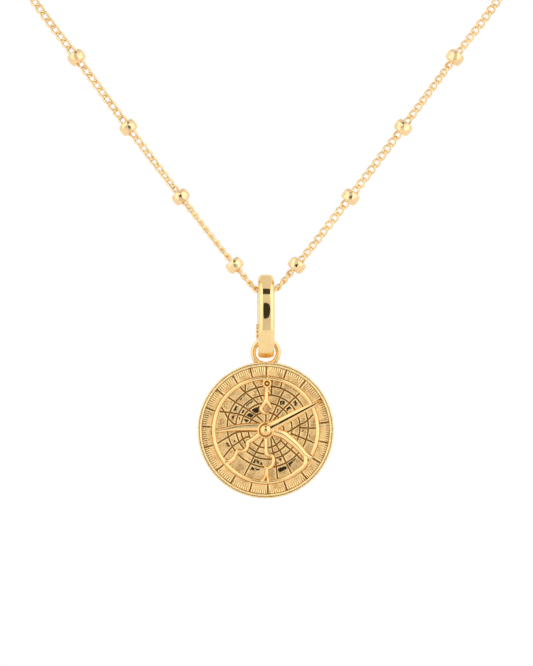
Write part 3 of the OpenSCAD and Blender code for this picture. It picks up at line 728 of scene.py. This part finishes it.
def make_plate():
    """The engraved plate: a flat mesh whose edges follow each line's banks and bottom, and which is then
    given its heights."""
    lines = engraved_lines()
    verts, edges = [], []

    def draw(line, loop=False):
        start = len(verts)
        verts.extend(Vector(p) for p in (line[:-1] if loop else line))
        count = len(verts) - start
        edges.extend((start + i, start + (i + 1) % count) for i in range(count if loop else count - 1))

    for line in lines:
        loop = np.allclose(line[0], line[-1])
        for distance in LINE_STEPS:
            for side in (-1, 1) if distance else (1,):
                draw(offset_line(line, side * distance), loop)
    turn = np.linspace(0, 2 * math.pi, PLATE_EDGE_STEPS + 1)
    draw(PLATE_R * np.array([np.cos(turn), np.sin(turn)]).T, loop=True)
    steps = np.arange(-PLATE_R, PLATE_R, PLATE_GRID)
    grid = np.array([(x + PLATE_GRID / 2 * (j % 2), y) for j, y in enumerate(steps) for x in steps])
    clear = (distance_to(grid, lines) > LINE_CLEAR) & (np.linalg.norm(grid, axis=1) < PLATE_R - 0.1)
    verts.extend(Vector(p) for p in grid[clear])
    steps = np.arange(-PLATE_R, PLATE_R, SPOT_GRID)
    grid = np.array([(x + SPOT_GRID / 2 * (j % 2), y) for j, y in enumerate(steps) for x in steps])
    grid = grid[in_spots(grid, 3 * SPOT_EDGE)]
    verts.extend(Vector(p) for p in grid[distance_to(grid, lines) > LINE_CLEAR_IN_SPOT])
    flat, _, faces, *_ = geometry.delaunay_2d_cdt(verts, edges, [], 0, 1e-5)
    flat = np.array([(v.x, v.y) for v in flat])
    inside = np.linalg.norm(flat, axis=1) < PLATE_R - 0.001
    near = distance_to(flat, lines)
    polish = polish_at(flat) * np.clip((near - POLISH_FROM) / POLISH_OVER, 0, 1) * inside
    wave = sum(np.sin(flat @ (a, b) * WAVE_RATE + c) for a, b, c in PLATE_WAVES)
    z = np.interp(near, *LINE_PROFILE.T) * (1 - polish) + WAVE_DEPTH * wave * (1 - WAVE_LOSS * polish)
    z += PLATE_HOLLOW * ((flat ** 2).sum(axis=1) - PLATE_R ** 2)
    z = FIELD_Z + z * inside
    points = [(x, y, h) for (x, y), h in zip(flat, z)]
    edge = [i for i in range(len(flat)) if not inside[i]]
    edge.sort(key=lambda i: math.atan2(flat[i][1], flat[i][0]))
    start = len(points)
    points += [(flat[i][0], flat[i][1], FIELD_Z - PLATE_BASE) for i in edge]
    faces = [tuple(f) for f in faces]
    count = len(edge)
    after = [(k + 1) % count for k in range(count)]
    faces += [(edge[k], edge[n], start + n, start + k) for k, n in enumerate(after)]
    faces.append(tuple(start + k for k in range(count)))
    # Patina and painted shade along the lines, rubbing and a painted highlight on their banks, and the
    # polished spots
    marks = {
        "groove": np.interp(near, *LINE_TONE),
        "wear": np.interp(near, *LINE_WEAR_SHEEN),
        "polish": polish,
    }
    marks = {label: list(values * inside) + [0] * count for label, values in marks.items()}
    piece = add_mesh("engraved_plate", from_face(points), faces, [PLATE_GOLD], 60, **marks)
    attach(piece, "medallion")


# Arms of the pierced plate: rows of x, y and width in mm, from the medallion's middle
LEFT_ARM = [
    (-0.9, 0.46, 0.95), (-3.0, 0.44, 0.84), (-4.5, 0.31, 0.72), (-6.0, 0.06, 0.56), (-7.5, -0.15, 0.44),
]
LOW_LEFT_ARM = [
    (-0.9, -0.6, 0.6), (-1.8, -1.3, 0.55), (-2.6, -1.8, 0.55), (-2.65, -2.3, 0.45), (-2.85, -2.8, 0.45),
    (-3.5, -3.08, 0.45), (-4.15, -3.05, 0.42), (-4.4, -3.6, 0.45), (-4.75, -4.2, 0.5), (-5.3, -4.6, 0.6),
    (-6.05, -4.75, 0.7),
]
LOW_LEFT_BARB = [(-4.2, -3.25, 0.42), (-4.24, -2.95, 0.34), (-4.2, -2.72, 0.14)]
LOW_STEM = [
    (0, -1.0, 0.5), (0.03, -2.3, 0.46), (0.05, -3.3, 0.48), (0.35, -3.62, 0.46), (0.85, -3.74, 0.46),
    (1.1, -4.05, 0.46), (1.13, -4.6, 0.46), (1.0, -5.1, 0.44), (0.6, -5.5, 0.44), (0.22, -5.6, 0.4),
    (-0.08, -5.38, 0.3), (-0.2, -5.12, 0.12),
]
LOW_FOOT = [(0.2, -5.45, 0.4), (0.18, -6.2, 0.44), (0.26, -6.9, 0.36), (0.36, -7.65, 0.42)]
LOW_TOE = [(0.14, -6.1, 0.36), (-0.05, -6.75, 0.32), (-0.3, -7.2, 0.34), (-0.6, -7.6, 0.42)]
LOW_RIGHT_ARM = [
    (1.0, -0.15, 1.0), (2.5, -0.62, 0.95), (3.5, -1.32, 0.9), (4.5, -2.17, 0.85), (5.2, -2.9, 0.78),
    (5.85, -3.65, 0.7), (6.7, -4.05, 0.6),
]
LOW_RIGHT_BRANCH = [
    (5.5, -3.3, 0.5), (5.85, -4.2, 0.55), (5.75, -5.1, 0.6), (5.15, -5.72, 0.6), (4.6, -6.1, 0.6),
    (4.1, -6.45, 0.6),
]
TOP_STEM = [
    (0.18, 6.4, 0.62), (0.14, 5.95, 0.42), (0.1, 5.3, 0.52), (0.1, 4.75, 0.5), (0.05, 4.4, 0.52),
    (-0.2, 3.9, 0.48), (-0.52, 3.45, 0.48), (-0.68, 3.1, 0.48), (-0.5, 2.75, 0.46), (-0.1, 2.5, 0.4),
    (0.25, 2.48, 0.32), (0.45, 2.62, 0.12),
]
TOP_LEG = [(0.1, 4.7, 0.4), (0.25, 4.15, 0.46), (0.5, 3.78, 0.44), (0.75, 3.42, 0.38), (0.95, 3.25, 0.14)]
TOP_HOOK = [(0.12, 6.15, 0.3), (0.36, 5.85, 0.34), (0.56, 5.6, 0.32), (0.7, 5.42, 0.12)]
TOP_HEAD = [(0.0, 7.62, 1.3), (0.1, 7.48, 0.9), (0.16, 7.36, 0.6)]
ARMS = {
    "left_arm": LEFT_ARM, "low_left_arm": LOW_LEFT_ARM, "low_left_barb": LOW_LEFT_BARB,
    "low_stem": LOW_STEM, "low_foot": LOW_FOOT, "low_toe": LOW_TOE, "low_right_arm": LOW_RIGHT_ARM,
    "low_right_branch": LOW_RIGHT_BRANCH, "top_stem": TOP_STEM, "top_leg": TOP_LEG, "top_hook": TOP_HOOK,
    "top_head": TOP_HEAD,
}
# Section of an arm: share of the half width, and share of the height
ARM_SECTION = [
    (-1.25, -0.4), (-1.25, -0.02), (-1.1, 0.06), (-1, 0.33), (-0.86, 0.54), (-0.62, 0.73), (-0.35, 0.88),
    (-0.12, 0.975), (0, 1), (0.12, 0.975), (0.35, 0.88), (0.62, 0.73), (0.86, 0.54), (1, 0.33), (1.1, 0.06),
    (1.25, -0.02), (1.25, -0.4),
]


def ribbon(form, rows, section, height, steps=5, closed=False):
    """A raised rib along rows of x, y and width, added to a form in the medallion's frame."""
    line = np.array(rows, float) if closed else spline(rows, steps)
    count = len(line)
    points = []
    for i, (x, y, w) in enumerate(line):
        if closed:
            ahead = line[(i + 1) % count, :2] - line[i - 1, :2]
        else:
            ahead = line[min(i + 1, count - 1), :2] - line[max(i - 1, 0), :2]
        ahead = unit(ahead)
        for u, h in section:
            off = u * w / 2
            points.append((x - ahead[1] * off, y + ahead[0] * off, FIELD_Z + h * height))
    # The rib's foot, where it meets the field, is darkened with patina and painted shade
    foot = [float(np.interp(abs(u), (0.88, 1.05), (0, 1))) for u, _ in section]
    form.add(points, rings_to_faces(count, len(section), closed), foot * count)


def circle_rows(turns, radius, width, middle=(0, 0)):
    """Rows of x, y and width round a circle, at turns from the top in degrees."""
    x, y = middle
    return [(x + radius * math.sin(a), y + radius * math.cos(a), width) for a in np.radians(turns)]


def lathe(form, middle, rows, sides=96, dark_from=None):
    """A form turned about an axis towards the viewer. Its profile starts and ends on the axis, and from the
    radius dark_from outwards it is darkened with patina and painted shade."""
    points = [(middle[0], middle[1], rows[0][1])]
    for radius, height in rows[1:-1]:
        for k in range(sides):
            a = 2 * math.pi * k / sides
            points.append((middle[0] + radius * math.cos(a), middle[1] + radius * math.sin(a), height))
    points.append((middle[0], middle[1], rows[-1][1]))
    faces = []
    for i in range(len(rows) - 3):
        for k in range(sides):
            n = (k + 1) % sides
            a, b = 1 + i * sides, 1 + (i + 1) * sides
            faces.append((a + k, a + n, b + n, b + k))
    last = 1 + (len(rows) - 3) * sides
    for k in range(sides):
        n = (k + 1) % sides
        faces += [(0, 1 + n, 1 + k), (last + k, last + n, len(points) - 1)]
    tones = [0]
    for radius, _ in rows[1:-1]:
        tones += [1 if dark_from and radius >= dark_from else 0] * sides
    form.add(points, faces, tones + [0])


# Turns from the top, in degrees, between which the ring runs
RING_FROM, RING_TO = 140, 478
# The thin ridge that closes the circle at the lower right: its turns, radius, width and height
THIN_FROM, THIN_TO = 112, 146
THIN_R = 7.82
THIN_W = 0.22
THIN_H = 0.2
# Outline of the metal between the ring and the arm at the lower right, and its height
RING_FILL = [(5.9, -4.1), (6.75, -4.0), (6.3, -4.7), (5.7, -5.35), (5.2, -5.75), (5.75, -4.9)]
RING_FILL_H = 0.12
# Section of the ring, inner side first: share of the half width, and share of the height
RING_SECTION = [(0.95 * u, h) for u, h in ARM_SECTION]


def make_ring():
    """The raised ring, closed at the lower right by a thin ridge, with a fill of metal between it and the
    arm there.
    """
    form = Form()
    crest = circle_rows(np.linspace(RING_FROM, RING_TO, 170), RING_R, RING_W)
    ribbon(form, crest, RING_SECTION, RING_H, 1)
    ribbon(form, circle_rows(np.linspace(THIN_FROM, THIN_TO, 18), THIN_R, THIN_W), ARM_SECTION, THIN_H, 1)
    points = [(x, y, FIELD_Z + z) for z in (-0.1, RING_FILL_H) for x, y in RING_FILL]
    form.add(points, rings_to_faces(2, len(RING_FILL)))
    piece = add_mesh("raised_ring", from_face(form.verts), form.faces, [RAISED_GOLD], 50,
                     groove=form.groove)
    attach(piece, "medallion")


# The small ring over the top figure: its middle, radius and width, the profile of the bead in its hole as
# radius and height over the field, and the radius from which the bead's foot is darkened with patina and
# painted shade
EYELET = (0.2, 6.85)
EYELET_R = 0.53
EYELET_W = 0.36
EYELET_BEAD = [
    (0, -0.1), (0.42, -0.1), (0.42, 0.02), (0.22, 0.02), (0.19, 0.1), (0.12, 0.15), (0, 0.17),
]
EYELET_DARK = 0.2


def make_arms():
    for name, rows in ARMS.items():
        form = Form()
        ribbon(form, [(x, y, ARM_WIDEN * w) for x, y, w in rows], ARM_SECTION, ARM_H)
        if name == "top_head":
            eyelet(form)
        piece = add_mesh(name, from_face(form.verts), form.faces, [RAISED_GOLD], 50, groove=form.groove)
        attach(piece, "medallion")


def eyelet(form):
    """The small ring over the top figure, with a bead in its hole."""
    circle = circle_rows(np.arange(0, 360, 12), EYELET_R, EYELET_W, EYELET)
    ribbon(form, circle, ARM_SECTION, ARM_H, closed=True)
    lathe(form, EYELET, [(r, FIELD_Z + z) for r, z in EYELET_BEAD], 24, EYELET_DARK)


# Profile of the hub and its domed rivet: radius, and height over the field
DOME_R = 1.2
DOME_TOP = 0.9
HUB_ROWS = [
    (0, -0.1), (1.25, -0.1), (1.25, 0.28), (1.23, 0.38), (1.17, 0.46), (1.08, 0.5), (1.0, 0.46),
    (0.96, 0.38), (0.94, 0.3), (0.87, 0.3), (0.85, 0.42), (0.81, 0.5),
] + [
    (r, DOME_TOP - DOME_R + math.sqrt(DOME_R ** 2 - r ** 2))
    for r in (0.76, 0.68, 0.57, 0.46, 0.34, 0.23, 0.12, 0)
]
RULE_TURN = 62
# Rows of the rule: distance from the hub's middle and width in mm
RULE_ROWS = [
    (0.6, 1.9), (1.2, 1.55), (1.7, 1.36), (3.0, 1.26), (5.0, 1.12), (7.0, 0.88), (8.6, 0.62), (9.1, 0.5),
    (9.3, 0.24),
]
# The rule's engraved line: distance from the hub's middle, strength of its patina and painted shade, and
# the share of the rule's height at its bottom; then the half width of its valley, as a share of the rule's
# half width
RULE_LINE = np.array([(2, 1, 0.66), (6.5, 1, 0.7), (8, 0.8, 0.82), (9, 0.3, 0.96)])
RULE_VALLEY = 0.22
RULE_SECTION = [
    (-1.1, -0.3), (-1.1, 0), (-1.02, 0.1), (-0.98, 0.4), (-0.88, 0.62), (-0.32, 0.97), (-0.25, 1),
    (-0.18, 0.92), (0, 0.66), (0.18, 0.92), (0.25, 1), (0.32, 0.97), (0.88, 0.62), (0.98, 0.4),
    (1.02, 0.1), (1.1, 0), (1.1, -0.3),
]
RULE_H = 0.52


def make_hub_and_rule():
    form = Form()
    lathe(form, (0, 0), [(r, FIELD_Z + z) for r, z in HUB_ROWS])
    hub = add_mesh("hub_rivet", from_face(form.verts), form.faces, [POLISHED], 50)
    form = Form()
    a = math.radians(RULE_TURN)
    ribbon(form, [(s * math.sin(a), s * math.cos(a), w) for s, w in RULE_ROWS], RULE_SECTION, RULE_H, 4)
    # The valley of the rule's line is darkened with patina and painted shade
    valley = []
    for i, (x, y, z) in enumerate(form.verts):
        off = abs(RULE_SECTION[i % len(RULE_SECTION)][0])
        s = math.hypot(x, y)
        valley.append(np.interp(s, *RULE_LINE.T[:2]) if off < RULE_VALLEY else 0)
        if off < RULE_VALLEY and s < RULE_LINE[0, 0]:
            form.verts[i] = (x, y, FIELD_Z + RULE_H * (1.03 if off else 1.06))
        elif off == 0:
            form.verts[i] = (x, y, FIELD_Z + RULE_H * np.interp(s, RULE_LINE[:, 0], RULE_LINE[:, 2]))
    rule = add_mesh("rule", from_face(form.verts), form.faces, [RULE_GOLD], 25, groove=valley)
    for piece in (hub, rule):
        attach(piece, "medallion")


LOOP_R = 1.85
LOOP_WIRE = 0.78
# Shares by which the solder thickens the loop's foot on its outer and on its inner side
SOLDER_OUT = 0.12
SOLDER_IN = 0.3


def make_loop():
    """The soldered loop over the medallion, with the solder's small fillets."""
    form = Form()
    z = (disc_high.z - disc_low.z) - DISC_R - LOOP_R - LOOP_WIRE / 2
    points = []
    rings, sides = 72, 16
    for i in range(rings):
        a = 2 * math.pi * i / rings
        foot = max(0, -math.cos(a)) ** 4
        for k in range(sides):
            b = 2 * math.pi * k / sides
            solder = foot * (SOLDER_OUT * max(0, math.cos(b)) + SOLDER_IN * max(0, -math.cos(b)))
            thick = LOOP_WIRE / 2 * (1 + solder)
            r = LOOP_R + thick * math.cos(b)
            points.append((r * math.sin(a), z + r * math.cos(a), LOOP_WIRE / 2 * math.sin(b)))
    form.add(points, rings_to_faces(rings, sides, closed=True))
    piece = add_mesh("soldered_loop", from_face(form.verts), form.faces, [LOOP_GOLD], 60)
    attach(piece, "medallion")


# Bail and clasp: the CAD's shapes with rounded edges

# Distance in mm under which points are merged, the angle under which facets are one flat face, and the
# angle over which an edge stays sharp, in degrees
MERGE = 0.0005
FLAT_ANGLE = 1.5
SHARP_ANGLE = 35
# The bail's frame: the chain's lowest point, and its turn in degrees. Then, in it, the heights of the
# centres of the band's two bends, the radius of its middle line, its thickness, the half width of its flat,
# the depth to which its front is bowed and the height of the bow's middle
CHAIN_LOW = Vector((0, -96, -120))
BAIL_TURN = 3
BAIL_TOP_Z = -0.544
BAIL_LOW_Z = -5.944
BAIL_MID_R = 2.44
BAIL_T = 2.08
BAIL_FLAT = 0.65
BAIL_DEPTH = 3.72
BOW_MIDDLE = -2.6
# Drop of the band's outside across its front: distance from its middle and drop in mm
SHOULDER = np.array([
    (0, 0), (0.28, 0.003), (0.5, 0.012), (0.58, 0.02), (0.7, 0.052), (0.8, 0.097), (0.9, 0.158),
    (1.0, 0.24), (1.08, 0.334), (1.15, 0.468),
])


def bow_front(piece):
    """Bows the outside of the bail's front into part of an ellipse and rounds its shoulders. The inside and
    the rear stay as they are."""
    place = Matrix.Translation(CHAIN_LOW) @ Matrix.Rotation(math.radians(BAIL_TURN), 4, "Z")
    back = place.inverted()
    mesh = piece.data
    cut = bmesh.new()
    cut.from_mesh(mesh)

    def slice_at(point, normal):
        bmesh.ops.bisect_plane(
            cut, geom=cut.verts[:] + cut.edges[:] + cut.faces[:], dist=1e-7,
            plane_co=place @ Vector(point) * MM, plane_no=place.to_3x3() @ Vector(normal))

    for z in np.linspace(BAIL_LOW_Z, BAIL_TOP_Z, 20):
        slice_at((0, 0, z), (0, 0, 1))
    for x in SHOULDER[:-1, 0]:
        slice_at((x, 0, 0), (1, 0, 0))
        slice_at((-x, 0, 0), (1, 0, 0))
    outer_r = BAIL_MID_R + BAIL_T / 2
    for vert in cut.verts:
        x, y, z = back @ (vert.co / MM)
        if y >= 0:
            continue
        centre = min(max(z, BAIL_LOW_Z), BAIL_TOP_Z)
        reach = math.hypot(y, z - centre)
        ny, nz = y / reach, (z - centre) / reach
        drop = max(0, abs(x) - BAIL_FLAT)
        share = min(1, (reach + drop - BAIL_MID_R) / BAIL_T + 0.5)
        py, pz = ny * outer_r, centre - BOW_MIDDLE + nz * outer_r
        half_high = BAIL_TOP_Z + outer_r - BOW_MIDDLE if pz > 0 else BOW_MIDDLE - BAIL_LOW_Z + outer_r
        a = (ny / BAIL_DEPTH) ** 2 + (nz / half_high) ** 2
        b = py * ny / BAIL_DEPTH ** 2 + pz * nz / half_high ** 2
        c = (py / BAIL_DEPTH) ** 2 + (pz / half_high) ** 2 - 1
        move = (math.sqrt(max(b * b - a * c, 0)) - b) / a * share
        if share > 0.9:
            # The shoulders fade out towards the rear, and are fuller at the foot
            blend = min(1, -ny / 0.15)
            fuller = 1 - 0.6 * min(1, max(0, -nz - 0.3) / 0.5)
            move += blend * (drop - fuller * np.interp(abs(x), *SHOULDER.T))
        vert.co = place @ Vector((x, y + ny * move, z + nz * move)) * MM
    cut.to_mesh(mesh)
    cut.free()
    mesh.set_sharp_from_angle(angle=math.radians(SHARP_ANGLE))


def rounded_copy(node, name, body, material, width, segments=3, angle=30):
    """A copy of a node's mesh, with the edges inside its flat faces taken out and its others rounded."""
    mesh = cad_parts[node].data.copy()
    mesh.name = name
    mesh.materials.clear()
    mesh.materials.append(material)
    plain = bmesh.new()
    plain.from_mesh(mesh)
    bmesh.ops.remove_doubles(plain, verts=plain.verts, dist=MERGE * MM)
    bmesh.ops.dissolve_limit(
        plain, angle_limit=math.radians(FLAT_ANGLE), verts=plain.verts, edges=plain.edges)
    plain.to_mesh(mesh)
    plain.free()
    for polygon in mesh.polygons:
        polygon.material_index = 0
    piece = bpy.data.objects.new(name, mesh)
    bpy.context.collection.objects.link(piece)
    bevel_edges(piece, width, segments, angle)
    mesh = piece.data
    mesh.shade_smooth()
    mesh.set_sharp_from_angle(angle=math.radians(SHARP_ANGLE))
    if node == "bail":
        bow_front(piece)
    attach(piece, body)
    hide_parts(node)


# Stage: floor, lights and cards

CARD_MID = Vector((0, -96, -140))
FLOOR_MID = Vector((0, -90, -200))
FLOOR_R = 150


def make_card(name, azimuth, elevation, distance, size, strength, rounded=False):
    """A glowing or dark card that faces the medallion from a direction in degrees: azimuth 0 is the
    camera's side and grows to the right. Its distance and size are in mm."""
    a, e = math.radians(azimuth), math.radians(elevation)
    way = Vector((math.sin(a) * math.cos(e), -math.cos(a) * math.cos(e), math.sin(e)))
    mesh = bpy.data.meshes.new(name)
    count = 48 if rounded else 4
    turn = [2 * math.pi * (k + 0.5) / count for k in range(count)]
    reach = 1 if rounded else math.sqrt(2)
    mesh.from_pydata([(size[0] / 2 * reach * math.cos(t) * MM, size[1] / 2 * reach * math.sin(t) * MM, 0)
                      for t in turn], [], [range(count)])
    card = bpy.data.objects.new(name, mesh)
    bpy.context.collection.objects.link(card)
    card.location = (CARD_MID + distance * way) * MM
    card.rotation_euler = way.to_track_quat("Z", "Y").to_euler()
    mesh.materials.append(glow(name, strength))
    card.visible_camera = False
    card.visible_shadow = False


def make_stage():
    world = bpy.data.worlds.new("world")
    world.use_nodes = True
    world.node_tree.nodes["Background"].inputs["Color"].default_value = (1, 1, 1, 1)
    world.node_tree.nodes["Background"].inputs["Strength"].default_value = 1
    bpy.context.scene.world = world
    bpy.context.scene.view_settings.view_transform = "Standard"
    make_card("card_lens", 2.8, 7.5, 380, (146, 194), 0.04, rounded=True)
    make_card("card_dark_over", 0, 49.5, 400, (190, 112), 0.05)
    make_card("card_front", 0, 0, 430, (320, 400), 0.76)
    make_card("card_high", 0, 76, 440, (640, 1300), 0.8)
    make_card("card_left", -51, 30, 420, (466, 1000), 1.4)
    make_card("card_right", 51, 30, 440, (480, 1000), 1.45)
    bpy.ops.mesh.primitive_circle_add(
        vertices=96, radius=FLOOR_R * MM, fill_type="NGON", location=FLOOR_MID * MM)
    floor = bpy.context.object
    floor.name = "floor"
    paper = bpy.data.materials.new("floor_paper")
    paper.use_nodes = True
    paper.node_tree.nodes["Principled BSDF"].inputs["Base Color"].default_value = (0.86, 0.86, 0.85, 1)
    paper.node_tree.nodes["Principled BSDF"].inputs["Roughness"].default_value = 0.8
    floor.data.materials.append(paper)


make_camera()
make_stage()
frames = link_frames()
make_chain(frames)
make_beads(frames)
make_body()
make_plate()
make_ring()
make_arms()
make_hub_and_rule()
make_loop()
rounded_copy("bail", "bail_band", "bail_body", BAIL_GOLD, 0.05, 2, 60)
rounded_copy("bail_gate", "bail_gate_bar", "gate", BAIL_GOLD, 0.08)
rounded_copy("bail_pin", "hinge_pin", "bail_body", POLISHED, 0.06)
rounded_copy("clasp", "clasp_barrel", "necklace", POLISHED, 0.15)
